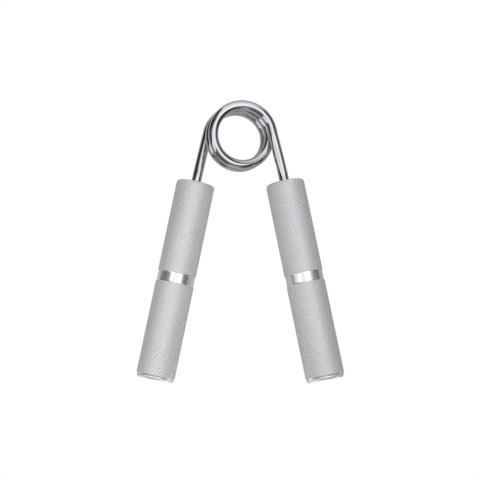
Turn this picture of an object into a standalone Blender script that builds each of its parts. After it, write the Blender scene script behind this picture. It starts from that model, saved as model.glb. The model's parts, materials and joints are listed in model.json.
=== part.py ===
"""Hand gripper: two knurled aluminium handles on the legs of a torsion spring.

Metres, +Z up. The gripper lies on its side on a flat surface (z = 0): the
handles point towards -Y, the coil is at the +Y end, and +X is to the right
when it is looked at from above. The origin is the middle of the footprint.

The design frame used below has its origin on the gripper's centre line, level
with the centre of the coil, X to the right, Y towards the coil end and Z
normal to the plane of the two handles. The coil is a little thicker than the
handles, so at rest the gripper stands on the lowest turn of the coil and on
the far ends of both handles, and the design frame leans by about one degree.
"""

import bmesh
import bpy
from math import cos, pi, radians, sin, sqrt
from mathutils import Matrix, Vector

MM = 0.001

# ---- driving dimensions -----------------------------------------------------
# handles: turned from 22.2 mm round bar
HANDLE_R = 11.1 * MM
HANDLE_L = 115.5 * MM
HANDLE_SPREAD = radians(11.45)     # lean of each handle from the centre line
TOP_X = 25.68 * MM                 # centre of a handle's top face
TOP_Y = -26.95 * MM
SHOULDER_R = 1.7 * MM              # rounding of the top edge
SHOULDER_STEPS = 4
FOOT_CHAMFER_L = 1.15 * MM         # chamfer at the far end, along the axis
FOOT_CHAMFER_R = 1.25 * MM         # and across it
BAND_START = 53.65 * MM            # smooth turned band, from the top face
BAND_END = 59.6 * MM
BAND_R = 10.7 * MM
BAND_FLANK = 0.25 * MM             # sloping walls of the band
BORE_R = 3.15 * MM                 # blind bore that holds the spring's leg
BORE_DEPTH = 42.0 * MM
BORE_MOUTH = 0.35 * MM             # countersink at the bore's mouth
HANDLE_FACETS = 72

# torsion spring
WIRE_R = 2.85 * MM
COIL_R = 17.07 * MM                # mean radius of the coil
COIL_X = -0.45 * MM                # the coil sits a little left of the middle
PITCH = 7.8 * MM
SKEW = radians(18.2)               # lean of the coil's axis from the normal
LEG_PHASE = 0.217                  # angle above the horizontal at which the
                                   # wire leaves the coil, in radians
TURNS_BETWEEN = 4 * pi             # full turns between the two legs
LEG_DEPTH = 40.0 * MM              # length of leg inside a handle
LEG_STRAIGHT = 2.0 * MM            # straight wire above a handle's top face
POINTS_PER_TURN = 36
BEND_POINTS = 10

SURFACE = 0.0                      # height of what the gripper lies on


# ---- geometry ---------------------------------------------------------------
def handle_axis(side):
    """(centre of the top face, unit vector towards the far end); side is +1 for the right handle and -1 for the left one."""
    top = Vector((side * TOP_X, TOP_Y, 0.0))
    down = Vector((side * sin(HANDLE_SPREAD), -cos(HANDLE_SPREAD), 0.0))
    return top, down


def coil_centre():
    return Vector((COIL_X, 0.0, 0.0))


def coil_axis():
    """Unit vector along the coil, from its lower turn to its upper one."""
    return Vector((sin(SKEW), 0.0, cos(SKEW)))


def helix(phase):
    """Point and tangent of the coil's centre line. It runs from the right leg, on top, to the left leg, below."""
    first, last = LEG_PHASE, pi - LEG_PHASE + TURNS_BETWEEN
    middle = 0.5 * (first + last)
    across = Vector((cos(SKEW), 0.0, -sin(SKEW)))
    up = Vector((0.0, 1.0, 0.0))
    rise = -PITCH / (2 * pi)
    point = coil_centre() + COIL_R * (cos(phase) * across + sin(phase) * up) + rise * (phase - middle) * coil_axis()
    tangent = COIL_R * (-sin(phase) * across + cos(phase) * up) + rise * coil_axis()
    return point, tangent.normalized()


def hermite(p0, t0, p1, t1, n):
    """n points strictly between p0 and p1 on the cubic with those unit tangents."""
    chord = (p1 - p0).length
    points = []
    for i in range(1, n + 1):
        s = i / (n + 1)
        points.append(
            (2 * s**3 - 3 * s**2 + 1) * p0
            + (s**3 - 2 * s**2 + s) * chord * t0
            + (-2 * s**3 + 3 * s**2) * p1
            + (s**3 - s**2) * chord * t1
        )
    return points


def wire_path():
    """The wire's centre line, from the end inside the right handle to the end inside the left one."""
    first, last = LEG_PHASE, pi - LEG_PHASE + TURNS_BETWEEN
    top_r, down_r = handle_axis(1)
    top_l, down_l = handle_axis(-1)
    start, start_t = helix(first)
    end, end_t = helix(last)
    enter_r = top_r - LEG_STRAIGHT * down_r
    enter_l = top_l - LEG_STRAIGHT * down_l
    steps = round(POINTS_PER_TURN * (last - first) / (2 * pi))
    coil = [helix(first + (last - first) * i / steps)[0] for i in range(steps + 1)]
    return (
        [top_r + LEG_DEPTH * down_r, top_r + 0.5 * LEG_DEPTH * down_r, enter_r]
        + hermite(enter_r, -down_r, start, start_t, BEND_POINTS)
        + coil
        + hermite(end, end_t, enter_l, down_l, BEND_POINTS)
        + [enter_l, top_l + 0.5 * LEG_DEPTH * down_l, top_l + LEG_DEPTH * down_l]
    )


def shoulder(radius, height):
    """The rounded top edge of a handle, from the top face outwards and down, as (radius, height) pairs."""
    out = []
    for i in range(SHOULDER_STEPS + 1):
        a = 0.5 * pi * i / SHOULDER_STEPS
        out.append((radius - SHOULDER_R * (1 - sin(a)), height - SHOULDER_R * (1 - cos(a))))
    return out


def handle_profile():
    """Half section of a handle: radius against height along its axis, 0 at the top face and negative towards the far end."""
    inside = [
        (0.0, -BORE_DEPTH),
        (BORE_R, -BORE_DEPTH),
        (BORE_R, -BORE_MOUTH),
        (BORE_R + BORE_MOUTH, 0.0),
    ]
    outside = shoulder(HANDLE_R, 0.0) + [
        (HANDLE_R, -BAND_START),
        (BAND_R, -BAND_START - BAND_FLANK),
        (BAND_R, -BAND_END + BAND_FLANK),
        (HANDLE_R, -BAND_END),
        (HANDLE_R, -HANDLE_L + FOOT_CHAMFER_L),
        (HANDLE_R - FOOT_CHAMFER_R, -HANDLE_L),
        (0.0, -HANDLE_L),
    ]
    return inside + outside


def lowest(lean):
    """(lowest height of the coil, lowest height of the handles) when the design frame leans by this angle about X."""
    def height(p):
        return p.y * sin(lean) + p.z * cos(lean)

    coil = min(height(p) for p in wire_path()[3:-3]) - WIRE_R
    ends = []
    for side in (1, -1):
        top, down = handle_axis(side)
        steep = sqrt(max(0.0, 1 - (height(down)) ** 2))
        for radius, z in handle_profile():
            ends.append(height(top - z * down) - radius * steep)
    return coil, min(ends)


def resting_lean():
    """The lean at which the coil and both handles touch the surface, found by halving."""
    low, high = 0.0, radians(5)
    for _ in range(50):
        middle = 0.5 * (low + high)
        coil, handles = lowest(middle)
        if coil < handles:
            low = middle
        else:
            high = middle
    return 0.5 * (low + high)


def placement():
    """The matrix that carries the design frame to the gripper's place on the surface."""
    lean = resting_lean()
    turn = Matrix.Rotation(lean, 4, "X")
    path = [turn @ p for p in wire_path()]
    front = max(p.y for p in path) + WIRE_R
    back = 0.0
    for side in (1, -1):
        top, down = handle_axis(side)
        top, down = turn @ top, (turn.to_3x3() @ down)
        steep = sqrt(max(0.0, 1 - down.y**2))
        back = min([back] + [(top - z * down).y - radius * steep for radius, z in handle_profile()])
    return Matrix.Translation((0.0, -0.5 * (front + back), SURFACE - min(lowest(lean)))) @ turn


# ---- building ---------------------------------------------------------------
def clear_scene():
    for ob in list(bpy.data.objects):
        bpy.data.objects.remove(ob, do_unlink=True)


def collection(name):
    made = bpy.data.collections.new(name)
    bpy.context.scene.collection.children.link(made)
    return made


def material(name, colour, metallic, roughness):
    made = bpy.data.materials.new(name)
    made.use_nodes = True
    shader = made.node_tree.nodes["Principled BSDF"]
    shader.inputs["Base Color"].default_value = (*colour, 1.0)
    shader.inputs["Metallic"].default_value = metallic
    shader.inputs["Roughness"].default_value = roughness
    return made


def empty(name, where, parent=None):
    ob = bpy.data.objects.new(name, None)
    where.objects.link(ob)
    ob.empty_display_size = 0.01
    ob.parent = parent
    return ob


def turned(name, profile, facets, where):
    """A solid turned about its own Z axis."""
    mesh = bpy.data.meshes.new(name)
    bm = bmesh.new()
    verts = [bm.verts.new((r, 0.0, z)) for r, z in profile]
    for a, b in zip(verts, verts[1:]):
        bm.edges.new((a, b))
    bm.to_mesh(mesh)
    bm.free()
    ob = bpy.data.objects.new(name, mesh)
    where.objects.link(ob)
    screw = ob.modifiers.new("turn", "SCREW")
    screw.axis = "Z"
    screw.angle = 2 * pi
    screw.steps = facets
    screw.render_steps = facets
    screw.use_merge_vertices = True
    screw.merge_threshold = 0.00001
    screw.use_smooth_shade = True
    return ob


def wire(name, points, radius, where):
    """A round wire along a line of points, with filled ends."""
    curve = bpy.data.curves.new(name, "CURVE")
    curve.dimensions = "3D"
    curve.bevel_depth = radius
    curve.bevel_resolution = 4
    curve.use_fill_caps = True
    spline = curve.splines.new("POLY")
    spline.points.add(len(points) - 1)
    for point, p in zip(spline.points, points):
        point.co = (*p, 1.0)
    spline.use_smooth = True
    ob = bpy.data.objects.new(name, curve)
    where.objects.link(ob)
    return ob


def build():
    clear_scene()
    parts = collection("hand_gripper")

    satin = material("knurled_aluminium", (0.72, 0.73, 0.75), 1.0, 0.38)
    bright = material("satin_aluminium", (0.72, 0.73, 0.75), 1.0, 0.38)
    chrome = material("chrome_wire", (0.62, 0.63, 0.65), 1.0, 0.06)

    rest = empty("gripper_frame", parts)
    rest.matrix_world = placement()
    squeeze = empty("squeeze_axis", parts, rest)
    squeeze.location = coil_centre()

    for name, side, finish in (("left_handle", -1, satin), ("right_handle", 1, bright)):
        ob = turned(name, handle_profile(), HANDLE_FACETS, parts)
        top, down = handle_axis(side)
        ob.parent = squeeze
        ob.location = top - coil_centre()
        ob.rotation_euler = (-0.5 * pi, 0.0, side * HANDLE_SPREAD)
        ob.data.materials.append(finish)

    spring = wire("torsion_spring", wire_path(), WIRE_R, parts)
    spring.parent = squeeze
    spring.location = -coil_centre()
    spring.data.materials.append(chrome)
    bpy.context.view_layer.update()


build()
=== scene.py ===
"""Hand gripper: the finish of its surfaces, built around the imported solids.

Two turned and knurled aluminium handles and one chromed torsion spring. Every
piece goes where the solids are: the squeeze joint gives the middle of the coil
and the normal of the plane that the handles lie in.

The design frame has its origin on the gripper's centre line, level with the
coil, X to the right, Y towards the coil end and Z normal to the handles. All
lengths in it are in millimetres.
"""

import json
from math import cos, pi, radians, sin, sqrt

import bmesh
import bpy
import numpy as np
from mathutils import Matrix, Vector


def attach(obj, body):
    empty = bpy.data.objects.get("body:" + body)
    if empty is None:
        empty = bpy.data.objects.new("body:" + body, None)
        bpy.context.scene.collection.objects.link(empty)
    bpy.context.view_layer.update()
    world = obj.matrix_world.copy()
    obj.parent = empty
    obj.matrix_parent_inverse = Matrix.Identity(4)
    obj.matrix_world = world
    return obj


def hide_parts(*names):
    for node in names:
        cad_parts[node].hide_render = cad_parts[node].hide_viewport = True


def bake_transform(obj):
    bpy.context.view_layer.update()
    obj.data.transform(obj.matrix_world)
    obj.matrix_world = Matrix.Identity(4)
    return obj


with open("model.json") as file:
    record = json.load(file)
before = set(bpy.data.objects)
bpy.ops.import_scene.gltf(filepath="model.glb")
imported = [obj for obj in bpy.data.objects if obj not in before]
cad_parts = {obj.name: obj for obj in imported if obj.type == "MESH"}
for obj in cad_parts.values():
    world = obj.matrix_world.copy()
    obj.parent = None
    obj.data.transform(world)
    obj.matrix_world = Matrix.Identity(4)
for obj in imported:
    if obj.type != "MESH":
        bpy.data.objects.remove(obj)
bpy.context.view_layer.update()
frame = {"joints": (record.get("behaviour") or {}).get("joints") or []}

MM = 0.001
TAU = 2 * pi
rng = np.random.default_rng(11)

# ---- dimensions, the same as the solids' -------------------------------------
HANDLE_R = 11.1
HANDLE_L = 115.5
HANDLE_SPREAD = radians(11.45)
TOP_X, TOP_Y = 25.68, -26.95
SHOULDER_R = 1.7
FOOT_CHAMFER_R = 1.25
FOOT_RING = 2.5                    # the smooth ring below the knurl, with its groove
BAND_START, BAND_END, BAND_R = 53.65, 59.6, 10.7
BORE_R, BORE_DEPTH, BORE_MOUTH = 2.98, 42.0, 0.42

WIRE_R = 2.85
COIL_R = 17.07
COIL_X = -0.45
PITCH = 7.8
SKEW = radians(18.2)
LEG_PHASE = 0.217
TURNS_BETWEEN = 4 * pi
LEG_DEPTH = 40.0
LEG_STRAIGHT = 2.0

# knurl: a diamond pattern
DIAMONDS = 38                      # round the handle
HALF_ROW = 0.867                   # half the height of a diamond, along the axis
KNURL_DEPTH = 0.17
# rings of one diamond, from the groove's floor to the crest: (share of the
# diamond's half width, share of the depth)
KNURL_RINGS = ((0.93, 0.05), (0.46, 0.93), (0.32, 1.0))

# ---- where the design frame is -----------------------------------------------
squeeze = frame["joints"][0]
PLANE_NORMAL = -Vector(squeeze["axis"]).normalized()
PLANE_X = Vector((1.0, 0.0, 0.0))
PLANE_Y = PLANE_NORMAL.cross(PLANE_X).normalized()
ORIGIN = Vector(squeeze["pos_m"]) - COIL_X * MM * PLANE_X


def place(x, y, z):
    """A point of the design frame, in metres in the row frame."""
    return ORIGIN + MM * (x * PLANE_X + y * PLANE_Y + z * PLANE_NORMAL)


def turn(v):
    """A direction of the design frame, in the row frame."""
    return v.x * PLANE_X + v.y * PLANE_Y + v.z * PLANE_NORMAL


def handle_axis(side):
    """(centre of the top face, unit vector towards the far end), in the design frame."""
    return (
        Vector((side * TOP_X, TOP_Y, 0.0)),
        Vector((side * sin(HANDLE_SPREAD), -cos(HANDLE_SPREAD), 0.0)),
    )


# ---- materials -----------------------------------------------------------------
class Nodes:
    """A short way to write a node tree down."""

    def __init__(self, tree):
        self.tree = tree
        tree.nodes.clear()

    def new(self, kind, **settings):
        node = self.tree.nodes.new(kind)
        for name, value in settings.items():
            setattr(node, name, value)
        return node

    def link(self, source, target):
        if hasattr(source, "links"):
            self.tree.links.new(source, target)
        else:
            target.default_value = source

    def math(self, operation, a, b=0.0, c=0.0, clamp=False):
        node = self.new("ShaderNodeMath", operation=operation, use_clamp=clamp)
        for socket, value in zip(node.inputs, (a, b, c)):
            self.link(value, socket)
        return node.outputs[0]

    def step(self, value, low, high, to_low=0.0, to_high=1.0):
        """Goes smoothly from to_low to to_high as value goes from low to high."""
        node = self.new("ShaderNodeMapRange", interpolation_type="SMOOTHSTEP")
        self.link(value, node.inputs["Value"])
        for name, number in (("From Min", low), ("From Max", high), ("To Min", to_low), ("To Max", to_high)):
            self.link(number, node.inputs[name])
        return node.outputs["Result"]

    def noise(self, vector, scale, detail=2.0, roughness=0.5, dimensions="3D"):
        node = self.new("ShaderNodeTexNoise", noise_dimensions=dimensions)
        if dimensions == "1D":
            self.link(vector, node.inputs["W"])
        else:
            self.link(vector, node.inputs["Vector"])
        node.inputs["Scale"].default_value = scale
        node.inputs["Detail"].default_value = detail
        node.inputs["Roughness"].default_value = roughness
        return node.outputs["Fac"]

    def mix(self, factor, a, b):
        """A colour between a and b."""
        node = self.new("ShaderNodeMix", data_type="RGBA")
        self.link(factor, node.inputs["Factor"])
        for value, socket in ((a, node.inputs[6]), (b, node.inputs[7])):
            self.link(value if hasattr(value, "links") else (*value, 1.0), socket)
        return node.outputs[2]

    def attribute(self, name):
        return self.new("ShaderNodeAttribute", attribute_name=name).outputs["Fac"]

    def bump(self, height, strength, distance, normal=None):
        node = self.new("ShaderNodeBump")
        self.link(height, node.inputs["Height"])
        node.inputs["Strength"].default_value = strength
        node.inputs["Distance"].default_value = distance
        if normal is not None:
            self.link(normal, node.inputs["Normal"])
        return node.outputs["Normal"]

    def stretched(self, vector, scale):
        node = self.new("ShaderNodeMapping")
        self.link(vector, node.inputs["Vector"])
        node.inputs["Scale"].default_value = scale
        return node.outputs["Vector"]


def metal(name, build):
    """A metal whose colour, roughness and normal come from build(nodes, object coordinates)."""
    made = bpy.data.materials.new(name)
    made.use_nodes = True
    n = Nodes(made.node_tree)
    out = n.new("ShaderNodeOutputMaterial")
    shader = n.new("ShaderNodeBsdfPrincipled")
    n.tree.links.new(shader.outputs[0], out.inputs["Surface"])
    shader.inputs["Metallic"].default_value = 1.0
    where = n.new("ShaderNodeTexCoord").outputs["Object"]
    colour, roughness, normal = build(n, where)
    n.link(colour, shader.inputs["Base Color"])
    n.link(roughness, shader.inputs["Roughness"])
    n.link(normal, shader.inputs["Normal"])
    return made, shader


def knurled(n, where):
    """Satin aluminium on the diamonds: duller down in the grooves, where painted shade also darkens the colour; the
    crests' lighter colour is partly rubbed wear and partly painted highlight.
    """
    relief = n.attribute("relief")
    cloud = n.noise(where, 90.0, 4.0, 0.6)
    spots = n.noise(where, 1400.0, 2.0)
    grain = n.noise(where, 6500.0, 2.0, 0.6)
    # painted shade: the colour goes dark down in the grooves, following the relief
    groove = n.step(relief, 0.0, 0.75)
    # the crests' lighter colour: partly rubbed wear, partly painted highlight
    crest = n.step(relief, 0.86, 1.0)
    groove_painted_shade = n.mix(cloud, (0.55, 0.557, 0.57), (0.62, 0.626, 0.64))
    flank = n.mix(spots, (0.93, 0.934, 0.94), (0.96, 0.963, 0.967))
    colour = n.mix(groove, groove_painted_shade, flank)
    colour = n.mix(crest, colour, (0.98, 0.981, 0.983))
    rough = n.math("ADD", n.math("MULTIPLY", cloud, 0.10), n.math("MULTIPLY", spots, 0.10))
    rough = n.math("ADD", rough, n.step(relief, 0.0, 1.0, 0.40, 0.30))
    normal = n.bump(grain, 0.10, 0.00003)
    normal = n.bump(spots, 0.12, 0.00006, normal)
    return colour, rough, normal


def turned_bright(n, where):
    """The smooth band: finely turned, so its marks run round the handle."""
    along = n.attribute("along")
    fine = n.noise(n.math("MULTIPLY", along, 26.0), 1.0, 3.0, 0.7, "1D")
    cloud = n.noise(where, 160.0, 3.0)
    colour = n.mix(cloud, (0.885, 0.89, 0.90), (0.93, 0.934, 0.94))
    rough = n.math("ADD", n.math("MULTIPLY", cloud, 0.05), n.math("MULTIPLY", fine, 0.06))
    rough = n.math("ADD", rough, 0.16)
    normal = n.bump(fine, 0.05, 0.00001)
    return colour, rough, normal


def turned_satin(n, where):
    """End faces, chamfers and the bore: turned, with rings that can be seen."""
    along = n.attribute("along")
    fine = n.noise(n.math("MULTIPLY", along, 14.0), 1.0, 3.0, 0.7, "1D")
    cloud = n.noise(where, 120.0, 4.0, 0.6)
    colour = n.mix(cloud, (0.80, 0.81, 0.825), (0.89, 0.895, 0.905))
    rough = n.math("ADD", n.math("MULTIPLY", cloud, 0.08), n.math("MULTIPLY", fine, 0.10))
    rough = n.math("ADD", rough, 0.22)
    return colour, rough, n.bump(fine, 0.22, 0.00003)


def turned_painted_reflection(n, where):
    """The ring at the foot: turned like the end faces, with its colour painted paler as a painted reflection of the
    pale table.
    """
    colour, rough, normal = turned_satin(n, where)
    # painted reflection: the colour is mixed three quarters of the way towards near white
    return n.mix(0.75, colour, (0.975, 0.978, 0.983)), rough, normal


def chrome(n, where):
    """Bright chrome: nearly a mirror, with a breath of haze and the faintest lengthwise drawing marks."""
    along = n.new("ShaderNodeUVMap", uv_map="wire").outputs["UV"]
    marks = n.noise(n.stretched(along, (0.35, 46.0, 1.0)), 1.0, 3.0, 0.6)
    haze = n.noise(where, 110.0, 4.0, 0.6)
    specks = n.step(n.noise(where, 1700.0, 1.0), 0.70, 0.82)
    colour = n.mix(haze, (0.60, 0.61, 0.632), (0.64, 0.648, 0.665))
    colour = n.mix(n.math("MULTIPLY", specks, 0.25), colour, (0.48, 0.488, 0.50))
    rough = n.math("ADD", n.math("MULTIPLY", n.step(haze, 0.45, 0.8), 0.05), n.math("MULTIPLY", specks, 0.08))
    rough = n.math("ADD", rough, n.math("MULTIPLY_ADD", marks, 0.02, 0.015))
    return colour, rough, n.bump(marks, 0.03, 0.00002)


KNURL, knurl_shader = metal("knurled_aluminium_fine", knurled)
BRIGHT, bright_shader = metal("turned_bright_aluminium", turned_bright)
SATIN, satin_shader = metal("turned_satin_aluminium", turned_satin)
CHROME, chrome_shader = metal("bright_chrome", chrome)
knurl_shader.inputs["Metallic"].default_value = 0.25
bright_shader.inputs["Metallic"].default_value = 0.78
RING, ring_shader = metal("turned_ring_painted_reflection", turned_painted_reflection)
ring_shader.inputs["Metallic"].default_value = 0.4
HANDLE_MATERIALS = (KNURL, BRIGHT, SATIN, RING)
ON_KNURL, ON_BAND, ON_FACE, ON_RING = range(4)


# ---- handles -------------------------------------------------------------------
class Turned:
    """A mesh round an axis. A point is (angle, distance from the top face, radius), with its place along the outline and its relief."""

    def __init__(self):
        self.points, self.along, self.relief = [], [], []
        self.faces, self.finish = [], []

    def point(self, angle, t, r, along, relief=1.0):
        self.points.append((angle, t, r))
        self.along.append(along)
        self.relief.append(relief)
        return len(self.points) - 1

    def face(self, finish, *corners):
        self.faces.append(corners)
        self.finish.append(finish)

    def ring(self, count, t, r, along):
        return [self.point(TAU * i / count, t, r, along) for i in range(count)]

    def sleeve(self, a, b, finish):
        """Quads between two rings of the same count."""
        for i in range(len(a)):
            j = (i + 1) % len(a)
            self.face(finish, a[i], a[j], b[j], b[i])

    def fan(self, ring, centre, finish):
        for i in range(len(ring)):
            self.face(finish, ring[i], ring[(i + 1) % len(ring)], centre)

    def zip(self, a, b, finish):
        """Triangles between two rings that have different counts, both in order of angle."""
        angle = lambda k: self.points[k][0]
        i = j = 0
        while i < len(a) or j < len(b):
            next_a = angle(a[(i + 1) % len(a)]) + TAU * ((i + 1) // len(a))
            next_b = angle(b[(j + 1) % len(b)]) + TAU * ((j + 1) // len(b))
            if j >= len(b) or (i < len(a) and next_a <= next_b):
                self.face(finish, a[i % len(a)], a[(i + 1) % len(a)], b[j % len(b)])
                i += 1
            else:
                self.face(finish, a[i % len(a)], b[(j + 1) % len(b)], b[j % len(b)])
                j += 1


def knurl(mesh, rows, place_at, along_at, depth_at, lift):
    """Diamonds in rows 0 to rows, the first and last of them halves. place_at(s, depth) gives (t, r) at s rows down, that far under the crest. Returns the first and last rings."""
    step = TAU / DIAMONDS

    def add(angle, s, height):
        return mesh.point(angle % TAU, *place_at(s, (1.0 - height) * depth_at(s)), along_at(s), height)

    corners = [[add((i + 0.5 * ((j + 1) % 2)) * step, j, 0.0) for i in range(DIAMONDS)] for j in range(rows + 1)]
    edges = ([], [])
    for j in range(rows + 1):
        for i in range(DIAMONDS):
            centre = (i + 0.5 * (j % 2)) * step
            # the corners at its left and right, above and below
            if j % 2:
                left, right = corners[j][i], corners[j][(i + 1) % DIAMONDS]
                above = corners[j - 1][i] if j else None
                below = corners[j + 1][i] if j < rows else None
            else:
                left, right = corners[j][i - 1], corners[j][i]
                above = corners[j - 1][i] if j else None
                below = corners[j + 1][i] if j < rows else None
            ring = {"left": left, "right": right, "above": above, "below": below}
            outline = [left]
            lifted = lift[j, i]
            last = []
            for share, height in KNURL_RINGS:
                h = height * lifted
                inner = {
                    "left": add(centre - share * 0.5 * step, j, h),
                    "right": add(centre + share * 0.5 * step, j, h),
                    "above": add(centre, j - share, h) if j else None,
                    "below": add(centre, j + share, h) if j < rows else None,
                }
                for p, q in (("left", "above"), ("above", "right"), ("right", "below"), ("below", "left")):
                    if ring[p] is not None and ring[q] is not None:
                        mesh.face(ON_KNURL, ring[p], ring[q], inner[q], inner[p])
                ring = inner
                outline.append(inner["left"])
                last.append(inner["right"])
            mesh.face(ON_KNURL, *[ring[k] for k in ("left", "above", "right", "below") if ring[k] is not None])
            if j == 0:
                edges[0].append(outline + last[::-1])
            if j == rows:
                edges[1].append(outline + last[::-1])
    rings = []
    for parts in edges:
        order = [k for part in parts for k in part]
        order.sort(key=lambda k: mesh.points[k][0])
        rings.append(order)
    return rings


def smooth_field(rows, amount):
    """How high each crest stands, as a share of the depth: slow changes where the tool met its own track, and a little chance."""
    i = np.arange(DIAMONDS)[None, :] * TAU / DIAMONDS
    j = np.arange(rows + 1)[:, None]
    slow = 0.5 * np.sin(3 * i + 0.21 * j + rng.uniform(0, TAU)) + 0.5 * np.sin(2 * i - 0.13 * j + rng.uniform(0, TAU))
    return 1.0 + amount * slow + rng.normal(0.0, 0.6 * amount, (rows + 1, DIAMONDS))


def handle(name, side):
    mesh = Turned()
    even = 114
    at = 0.0

    # bore and its mouth, from the blind end up
    centre = mesh.point(0.0, BORE_DEPTH + 0.8, 0.0, at)
    rings = []
    bore = ((BORE_DEPTH, BORE_R - 0.05), (BORE_DEPTH - 0.1, BORE_R), (20.0, BORE_R), (4.0, BORE_R), (BORE_MOUTH + 0.08, BORE_R), (BORE_MOUTH, BORE_R + 0.02), (0.03, BORE_R + BORE_MOUTH - 0.03), (0.0, BORE_R + BORE_MOUTH + 0.04))
    face = tuple((0.0, r) for r in (4.6, 6.2, 7.8, HANDLE_R - SHOULDER_R - 0.12))
    before = (BORE_DEPTH + 0.8, 0.0)
    for t, r in bore + face:
        at += sqrt((t - before[0]) ** 2 + (r - before[1]) ** 2) * (0.25 if t > 4.5 else 1.0)
        before = (t, r)
        rings.append(mesh.ring(even, t, r, at))
    mesh.fan(rings[0][::-1], centre, ON_FACE)
    for a, b in zip(rings, rings[1:]):
        mesh.sleeve(b, a, ON_FACE)
    top_face = rings[-1]

    # upper knurl, which runs over the rounded shoulder and dies out on it
    arc = 0.5 * pi * SHOULDER_R
    length = arc + BAND_START - SHOULDER_R
    rows = round(length / HALF_ROW)
    row = length / rows
    base = at + 0.12

    def upper(s, depth):
        s = max(0.0, s * row)
        if s < arc:
            a = s / SHOULDER_R
            return SHOULDER_R * (1 - cos(a)) + depth * cos(a), HANDLE_R - SHOULDER_R * (1 - sin(a)) - depth * sin(a)
        return SHOULDER_R + s - arc, HANDLE_R - depth

    def fade(s):
        x = min(1.0, max(0.0, s * row / (0.72 * arc)))
        return KNURL_DEPTH * x * x * (3 - 2 * x)

    first, last = knurl(mesh, rows, upper, lambda s: base + s * row, fade, smooth_field(rows, 0.03))
    mesh.zip(first, top_face, ON_FACE)
    at = base + length

    # the smooth band between the two lengths of knurl
    rings = []
    shape = [(BAND_START + 0.03, BAND_R + 0.16), (BAND_START + 0.10, BAND_R + 0.03), (BAND_START + 0.2, BAND_R)]
    shape += [(BAND_START + 0.2 + (BAND_END - BAND_START - 0.4) * k / 10, BAND_R) for k in range(1, 11)]
    shape += [(BAND_END - 0.10, BAND_R + 0.03), (BAND_END - 0.03, BAND_R + 0.16)]
    before = (BAND_START, HANDLE_R - 0.15)
    for t, r in shape:
        at += sqrt((t - before[0]) ** 2 + (r - before[1]) ** 2)
        before = (t, r)
        rings.append(mesh.ring(152, t, r, at))
    mesh.zip(rings[0], last, ON_KNURL)
    for a, b in zip(rings, rings[1:]):
        mesh.sleeve(b, a, ON_BAND)
    band = rings[-1]
    at += 0.2

    # lower knurl
    length = HANDLE_L - FOOT_RING - BAND_END
    rows = round(length / HALF_ROW)
    row2 = length / rows
    base2 = at
    first, last = knurl(
        mesh,
        rows,
        lambda s, depth: (BAND_END + s * row2, HANDLE_R - depth),
        lambda s: base2 + s * row2,
        lambda s: KNURL_DEPTH,
        smooth_field(rows, 0.03),
    )
    mesh.zip(first, band, ON_KNURL)
    at = base2 + length

    # foot: a step down to a smooth ring (its colour painted pale as a reflection of the table), its chamfer and the end
    # face
    rings = []
    start = HANDLE_L - FOOT_RING
    shape = [(start + t, HANDLE_R - cut) for t, cut in (
        (0.04, KNURL_DEPTH + 0.06), (0.10, 0.26), (0.56, 0.50), (0.60, 0.46), (0.64, 0.34), (1.26, 0.34),
        (1.38, 0.37), (1.46, 0.43), (2.38, FOOT_CHAMFER_R - 0.04), (2.46, FOOT_CHAMFER_R + 0.06),
    )]
    shape += [(HANDLE_L, r) for r in (HANDLE_R - FOOT_CHAMFER_R - 0.20, 8.0, 6.0, 4.0, 2.0, 0.6)]
    before = (start, HANDLE_R - 0.2)
    for t, r in shape:
        at += sqrt((t - before[0]) ** 2 + (r - before[1]) ** 2)
        before = (t, r)
        rings.append(mesh.ring(even, t, r, at))
    mesh.zip(rings[0], last, ON_KNURL)
    for k, (a, b) in enumerate(zip(rings, rings[1:])):
        mesh.sleeve(b, a, ON_BAND if k < 2 else ON_RING if k < 9 else ON_FACE)
    mesh.fan(rings[-1], mesh.point(0.0, HANDLE_L, 0.0, at + 0.6), ON_FACE)
    total = at + 0.6

    # into the row frame
    top, down = handle_axis(side)
    across = turn(Vector((-down.y, down.x, 0.0)))
    up = PLANE_NORMAL
    top, down = place(*top), turn(down)
    spots = np.array(mesh.points)
    axes = np.array([across, up, down])
    co = np.array(top)[None, :] + MM * (
        (spots[:, 2] * np.cos(spots[:, 0]))[:, None] * axes[0]
        + (spots[:, 2] * np.sin(spots[:, 0]))[:, None] * axes[1]
        + spots[:, 1][:, None] * axes[2]
    )
    data = bpy.data.meshes.new(name)
    data.from_pydata(co.tolist(), [], mesh.faces)
    for material in HANDLE_MATERIALS:
        data.materials.append(material)
    data.polygons.foreach_set("material_index", mesh.finish)
    for label, values in (("along", mesh.along), ("relief", mesh.relief)):
        layer = data.attributes.new(label, "FLOAT", "POINT")
        layer.data.foreach_set("value", np.array(values, np.float32))

    # a map of the whole surface: round the handle, and along its outline
    layer = data.uv_layers.new(name="OFBake")
    corner = np.empty(len(data.loops), np.int32)
    data.loops.foreach_get("vertex_index", corner)
    starts = np.empty(len(data.polygons), np.int32)
    counts = np.empty(len(data.polygons), np.int32)
    data.polygons.foreach_get("loop_start", starts)
    data.polygons.foreach_get("loop_total", counts)
    owner = np.repeat(np.arange(len(starts)), counts)
    angle = spots[corner, 0].copy()
    low = np.minimum.reduceat(angle, starts)[owner]
    high = np.maximum.reduceat(angle, starts)[owner]
    angle[(high - low > pi) & (angle < pi)] += TAU
    # the middle point of an end face has no angle of its own
    middle = spots[corner, 2] < 1e-9
    angle[middle] = 0.5 * (low + high)[middle]
    uv = np.empty((len(corner), 2), np.float32)
    uv[:, 0] = 0.015 + 0.95 * angle / TAU
    uv[:, 1] = 0.01 + 0.98 * np.array(mesh.along)[corner] / total
    layer.uv.foreach_set("vector", uv.ravel())

    ob = bpy.data.objects.new(name, data)
    bpy.context.scene.collection.objects.link(ob)
    data.validate()
    data.shade_smooth()
    bm = bmesh.new()
    bm.from_mesh(data)
    bmesh.ops.recalc_face_normals(bm, faces=bm.faces)
    bm.to_mesh(data)
    bm.free()
    data.set_sharp_from_angle(angle=radians(32))
    return ob


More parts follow.
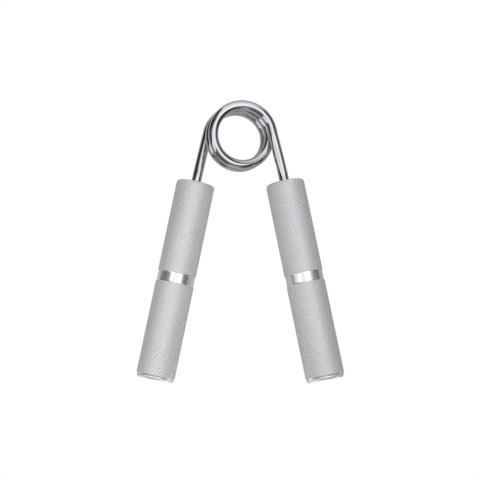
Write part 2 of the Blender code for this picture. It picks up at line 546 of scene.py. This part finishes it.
# ---- spring --------------------------------------------------------------------
def helix(phase):
    """Point and tangent of the coil's centre line, from the right leg, on top, to the left leg, below."""
    first, last = LEG_PHASE, pi - LEG_PHASE + TURNS_BETWEEN
    middle = 0.5 * (first + last)
    across = Vector((cos(SKEW), 0.0, -sin(SKEW)))
    up = Vector((0.0, 1.0, 0.0))
    axis = Vector((sin(SKEW), 0.0, cos(SKEW)))
    rise = -PITCH / TAU
    point = Vector((COIL_X, 0.0, 0.0)) + COIL_R * (cos(phase) * across + sin(phase) * up) + rise * (phase - middle) * axis
    tangent = COIL_R * (-sin(phase) * across + cos(phase) * up) + rise * axis
    return point, tangent.normalized()


def hermite(p0, t0, p1, t1, n):
    chord = (p1 - p0).length
    points = []
    for i in range(1, n + 1):
        s = i / (n + 1)
        points.append(
            (2 * s**3 - 3 * s**2 + 1) * p0
            + (s**3 - 2 * s**2 + s) * chord * t0
            + (-2 * s**3 + 3 * s**2) * p1
            + (s**3 - s**2) * chord * t1
        )
    return points


def wire_path():
    """The wire's centre line, finely stepped."""
    first, last = LEG_PHASE, pi - LEG_PHASE + TURNS_BETWEEN
    top_r, down_r = handle_axis(1)
    top_l, down_l = handle_axis(-1)
    start, start_t = helix(first)
    end, end_t = helix(last)
    enter_r = top_r - LEG_STRAIGHT * down_r
    enter_l = top_l - LEG_STRAIGHT * down_l
    steps = 300
    coil = [helix(first + (last - first) * i / steps)[0] for i in range(steps + 1)]
    inside = [k * LEG_DEPTH / 6 for k in range(6, -1, -1)]
    return (
        [top_r + t * down_r for t in inside]
        + [enter_r]
        + hermite(enter_r, -down_r, start, start_t, 30)
        + coil
        + hermite(end, end_t, enter_l, down_l, 30)
        + [enter_l]
        + [top_l + t * down_l for t in reversed(inside)]
    )


def spring(name, around=48):
    """The wire as a round tube along its centre line. Its ends are chamfered."""
    path = [place(*p) for p in wire_path()]
    first = (path[0] - path[1]).normalized()
    last = (path[-1] - path[-2]).normalized()
    chamfer = 0.5 * MM
    rings = [(path[0] + 0.0 * first, WIRE_R * MM - chamfer)]
    rings += [(path[0] - chamfer * first, WIRE_R * MM)]
    rings += [(p, WIRE_R * MM) for p in path[1:-1]]
    rings += [(path[-1] - chamfer * last, WIRE_R * MM)]
    rings += [(path[-1], WIRE_R * MM - chamfer)]
    centres = np.array([p for p, _ in rings])
    radius = np.array([r for _, r in rings])
    tangents = np.gradient(centres, axis=0)
    tangents[:2] = -np.array(first)
    tangents[-2:] = np.array(last)
    tangents /= np.linalg.norm(tangents, axis=1)[:, None]
    length = np.concatenate([[0.0], np.cumsum(np.linalg.norm(np.diff(centres, axis=0), axis=1))])

    side = np.cross(tangents[0], np.array(PLANE_NORMAL))
    side /= np.linalg.norm(side)
    sides = [side]
    for a, b in zip(tangents, tangents[1:]):
        side = side - b * (side @ b)
        side /= np.linalg.norm(side)
        sides.append(side)
    sides = np.array(sides)
    others = np.cross(tangents, sides)

    turns = np.arange(around) * TAU / around
    co = (
        centres[:, None, :]
        + radius[:, None, None] * (np.cos(turns)[None, :, None] * sides[:, None, :] + np.sin(turns)[None, :, None] * others[:, None, :])
    ).reshape(-1, 3)
    count = len(centres)
    co = np.concatenate([co, centres[:1], centres[-1:]])
    ends = (count * around, count * around + 1)
    faces, maps = [], []
    span = length[-1]
    u = 0.02 + 0.96 * length / span
    for i in range(count - 1):
        for k in range(around):
            m = (k + 1) % around
            faces.append((i * around + k, i * around + m, (i + 1) * around + m, (i + 1) * around + k))
            maps += [(u[i], k), (u[i], k + 1), (u[i + 1], k + 1), (u[i + 1], k)]
    for ring, end, to in ((0, ends[0], 0.001), (count - 1, ends[1], 0.999)):
        for k in range(around):
            m = (k + 1) % around
            a, b = (ring * around + m, ring * around + k) if ring == 0 else (ring * around + k, ring * around + m)
            faces.append((a, b, end))
            low, high = (k + 1, k) if ring == 0 else (k, k + 1)
            maps += [(u[ring], low), (u[ring], high), (to, k + 0.5)]
    data = bpy.data.meshes.new(name)
    data.from_pydata(co.tolist(), [], faces)
    data.materials.append(CHROME)
    maps = np.array(maps, np.float32)
    bake = data.uv_layers.new(name="OFBake")
    wire = data.uv_layers.new(name="wire")
    # the marks repeat round the wire, so its own map runs there and back
    there_and_back = 1 - np.abs(1 - 2 * maps[:, 1] / around)
    wire.uv.foreach_set("vector", np.stack([maps[:, 0] * span / MM, there_and_back], 1).astype(np.float32).ravel())
    maps[:, 1] = 0.02 + 0.96 * maps[:, 1] / around
    bake.uv.foreach_set("vector", maps.ravel())
    data.uv_layers.active = bake
    ob = bpy.data.objects.new(name, data)
    bpy.context.scene.collection.objects.link(ob)
    data.shade_smooth()
    bm = bmesh.new()
    bm.from_mesh(data)
    bmesh.ops.recalc_face_normals(bm, faces=bm.faces)
    bm.to_mesh(data)
    bm.free()
    data.set_sharp_from_angle(angle=radians(32))
    return ob


left = handle("left_handle_knurled", -1)
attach(left, "left_grip")
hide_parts("left_handle")

right = handle("right_handle_knurled", 1)
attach(right, "right_grip")
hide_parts("right_handle")

coil = spring("torsion_spring_chromed")
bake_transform(coil)
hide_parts("torsion_spring")


# ---- floor ---------------------------------------------------------------------
LANE = 0.109                        # half the width of the floor's lit lane, in metres


def floor():
    """A wide light table, which the camera sees a little overexposed, as in a catalogue picture. What the gripper mirrors of it is pale in a lane along the middle and dim far to the sides."""
    bm = bmesh.new()
    bmesh.ops.create_grid(bm, x_segments=8, y_segments=8, size=12.0)
    data = bpy.data.meshes.new("table_top")
    bm.to_mesh(data)
    bm.free()
    ob = bpy.data.objects.new("table_top", data)
    bpy.context.scene.collection.objects.link(ob)
    made = bpy.data.materials.new("pale_table")
    made.use_nodes = True
    n = Nodes(made.node_tree)
    out = n.new("ShaderNodeOutputMaterial")
    shader = n.new("ShaderNodeBsdfPrincipled")
    n.tree.links.new(shader.outputs[0], out.inputs["Surface"])
    split = n.new("ShaderNodeSeparateXYZ")
    n.tree.links.new(n.new("ShaderNodeTexCoord").outputs["Object"], split.inputs[0])
    seen = n.new("ShaderNodeLightPath").outputs["Is Camera Ray"]
    behind = n.math("MAXIMUM", n.math("SUBTRACT", split.outputs[1], 0.06), 0.0)
    away = n.math("SUBTRACT", split.outputs[0], n.math("MULTIPLY", behind, 0.8))
    away = n.math("MAXIMUM", away, n.math("MULTIPLY", split.outputs[0], -1.0))
    lane = n.step(away, LANE - 0.005, LANE + 0.005, 1.0, 0.08)
    lane = n.math("MULTIPLY", lane, n.step(split.outputs[1], -0.11, -0.08, 1.3, 0.46))
    lane = n.math("MULTIPLY", lane, n.step(split.outputs[0], -0.08, 0.08, 1.15, 0.75))
    glow = n.math("ADD", n.math("MULTIPLY", lane, n.math("SUBTRACT", 1.0, seen)), n.math("MULTIPLY", seen, 0.985))
    shader.inputs["Base Color"].default_value = (0.03, 0.03, 0.03, 1.0)
    shader.inputs["Roughness"].default_value = 0.9
    shader.inputs["Specular IOR Level"].default_value = 0.1
    shader.inputs["Emission Color"].default_value = (1.0, 1.0, 1.0, 1.0)
    n.link(glow, shader.inputs["Emission Strength"])
    made.cycles.emission_sampling = "NONE"
    data.materials.append(made)
    return ob


floor()


# ---- studio --------------------------------------------------------------------
class Sky(Nodes):
    """Shapes on the sky. A direction is drawn on a flat map whose middle is straight up and whose unit circle is the horizon."""

    def on_map(self, x, y, z):
        share = self.math("ADD", self.math("MAXIMUM", z, -0.3), 1.0)
        map_ = self.new("ShaderNodeCombineXYZ")
        self.link(self.math("DIVIDE", x, share), map_.inputs[0])
        self.link(self.math("DIVIDE", y, share), map_.inputs[1])
        return map_.outputs[0]

    def local(self, spot, at, size, angle=0.0):
        """The map seen from a shape: its own origin, size and direction."""
        node = self.new("ShaderNodeMapping", vector_type="TEXTURE")
        self.link(spot, node.inputs["Vector"])
        node.inputs["Location"].default_value = (*at, 0.0)
        node.inputs["Rotation"].default_value = (0.0, 0.0, angle)
        node.inputs["Scale"].default_value = (*size, 1.0)
        return node.outputs[0]

    def oval(self, spot, at, size, soft, angle=0.0):
        away = self.new("ShaderNodeVectorMath", operation="LENGTH")
        self.link(self.local(spot, at, size, angle), away.inputs[0])
        return self.step(away.outputs["Value"], 1.0 - soft, 1.0 + soft, 1.0, 0.0)

    def lightest(self, *values):
        total = values[0]
        for value in values[1:]:
            total = self.math("MAXIMUM", total, value)
        return total


def studio():
    """Three far soft boxes overhead, a pale wall behind the coil, soft fill and dark walls elsewhere. What the camera sees beyond the table is as pale as the table."""
    world = bpy.data.worlds.new("studio")
    bpy.context.scene.world = world
    world.use_nodes = True
    n = Sky(world.node_tree)
    out = n.new("ShaderNodeOutputWorld")
    background = n.new("ShaderNodeBackground")
    n.tree.links.new(background.outputs[0], out.inputs["Surface"])
    split = n.new("ShaderNodeSeparateXYZ")
    n.tree.links.new(n.new("ShaderNodeTexCoord").outputs["Generated"], split.inputs[0])
    spot = n.on_map(*split.outputs)
    flat = n.new("ShaderNodeSeparateXYZ")
    n.link(spot, flat.inputs[0])
    x, y = flat.outputs[0], flat.outputs[1]

    # overhead: the key box, a long soft one to its left, a small one to its right
    key = n.math("MULTIPLY", n.oval(spot, (0.21, -0.01), (0.20, 0.29), 0.22, 0.22), 1.35)
    long_box = n.math("MULTIPLY", n.oval(spot, (-0.02, 0.0), (0.27, 0.15), 0.50), 1)
    small_box = n.math("MULTIPLY", n.oval(spot, (0.46, 0.06), (0.13, 0.09), 0.70), 0.8)

    # the wall behind the coil: a wedge that widens towards the horizon
    left_side = n.math("SUBTRACT", x, n.math("MULTIPLY_ADD", y, -0.32, -0.02))
    left_side = n.math("ADD", left_side, n.math("MULTIPLY", n.math("MAXIMUM", n.math("SUBTRACT", y, 0.5), 0.0), 0.35))
    right_side = n.math("SUBTRACT", x, n.math("MULTIPLY_ADD", y, 0.77, 0.045))
    right_side = n.math("SUBTRACT", right_side, n.math("MULTIPLY", n.math("MAXIMUM", n.math("SUBTRACT", y, 0.65), 0.0), 0.7))
    wedge = n.math("MULTIPLY", n.step(left_side, -0.08, 0.08), n.step(right_side, -0.14, 0.14, 1.0, 0.0))
    wedge = n.math("MULTIPLY", wedge, n.step(y, 0.17, 0.22))
    wall = n.math("MULTIPLY", wedge, n.step(y, 0.25, 0.85, 1.15, 0.72))

    # fill: below the boxes and further down, above them, left and right of them, and low on the left
    below = n.math("MULTIPLY", n.oval(spot, (0.0, -0.37), (0.33, 0.14), 0.95), 0.32)
    low = n.math("MULTIPLY", n.oval(spot, (0.14, -0.66), (0.20, 0.30), 0.80), 0.34)
    above = n.math("MULTIPLY", n.oval(spot, (-0.10, 0.265), (0.21, 0.24), 0.65), 0.22)
    haze = n.math("MULTIPLY", n.oval(spot, (-0.40, 0.10), (0.22, 0.13), 0.80), 0.10)
    right = n.math("MULTIPLY", n.oval(spot, (0.70, 0.35), (0.22, 0.30), 0.90), 0.14)
    left = n.math("MULTIPLY", n.oval(spot, (-1.03, -0.32), (0.12, 0.65), 0.70), 1.1)
    light = n.lightest(key, long_box, small_box, wall, below, above, haze, low, right, left, 0.028)
    seen = n.new("ShaderNodeLightPath").outputs["Is Camera Ray"]
    light = n.math("ADD", n.math("MULTIPLY", light, n.math("SUBTRACT", 1.0, seen)), n.math("MULTIPLY", seen, 1.1))
    colour = n.new("ShaderNodeCombineColor")
    n.link(n.math("MULTIPLY", light, 0.985), colour.inputs[0])
    n.link(n.math("MULTIPLY", light, 0.995), colour.inputs[1])
    n.link(n.math("MULTIPLY", light, 1.02), colour.inputs[2])
    n.tree.links.new(colour.outputs[0], background.inputs["Color"])
    background.inputs["Strength"].default_value = 1.0
    world.cycles.sampling_method = "MANUAL"
    world.cycles.sample_map_resolution = 1024


def soft_box(name, at, facing, along, wide, long, level, shiny=True):
    """A rectangular soft box of the given brightness at a point of the design frame, out of the picture."""
    data = bpy.data.lights.new(name, "AREA")
    data.shape = "RECTANGLE"
    data.size, data.size_y = wide, long
    data.energy = level * pi * wide * long
    ob = bpy.data.objects.new(name, data)
    bpy.context.scene.collection.objects.link(ob)
    back = -turn(Vector(facing)).normalized()
    length = turn(Vector(along))
    length = (length - length.dot(back) * back).normalized()
    across = length.cross(back)
    where = place(*at)
    ob.matrix_world = Matrix((
        (across.x, length.x, back.x, where.x),
        (across.y, length.y, back.y, where.y),
        (across.z, length.z, back.z, where.z),
        (0.0, 0.0, 0.0, 1.0),
    ))
    ob.visible_camera = False
    ob.visible_glossy = shiny


studio()
soft_box("tube", (-204.5, -128.5, 226.8), (0.5622, 0.3534, -0.7477), (-0.6330, -0.3979, -0.6641), 0.115, 0.334, 1)
soft_box("near_box", (-20.0, -90.0, 170.0), (0.12, 0.0, -1.0), (0.0, 1.0, 0.0), 0.05, 0.18, 2.2, shiny=False)
bpy.context.scene.view_settings.view_transform = "Standard"


# ---- camera --------------------------------------------------------------------
def camera():
    """Looks down on the handles, a little from their far end. Found by matching the gripper's outline in a picture 480 pixels wide, whose centre is the lens's axis."""
    size = 480.0
    scale = 1.722028                # pixels to a millimetre at the coil
    distance = 1209.6957            # in the same pixels
    shift_x, shift_y = 0.311839, 103.051582
    tilt, swing, roll = -0.1153775, 0.0610264, 0.0019941
    # the fitting frame has x to the right, y away from the camera and z up the picture
    right = Vector((cos(swing), sin(swing), 0.0))
    ahead = Vector((-sin(swing) * cos(tilt), cos(swing) * cos(tilt), -sin(tilt)))
    up = right.cross(ahead)
    right, up = cos(roll) * right + sin(roll) * up, -sin(roll) * right + cos(roll) * up
    centre = -(shift_x * right + shift_y * up + distance * ahead) / scale

    def design(v):
        return Vector((v.x, v.z, -v.y))

    right, up, ahead = (turn(design(v)) for v in (right, up, ahead))
    where = place(*design(centre))
    data = bpy.data.cameras.new("camera")
    data.sensor_width = 36.0
    data.lens = 36.0 * distance / size
    data.clip_start, data.clip_end = 0.01, 50.0
    ob = bpy.data.objects.new("camera", data)
    ob.matrix_world = Matrix((
        (right.x, up.x, -ahead.x, where.x),
        (right.y, up.y, -ahead.y, where.y),
        (right.z, up.z, -ahead.z, where.z),
        (0.0, 0.0, 0.0, 1.0),
    ))
    bpy.context.scene.collection.objects.link(ob)
    bpy.context.scene.camera = ob


camera()

bpy.context.view_layer.update()
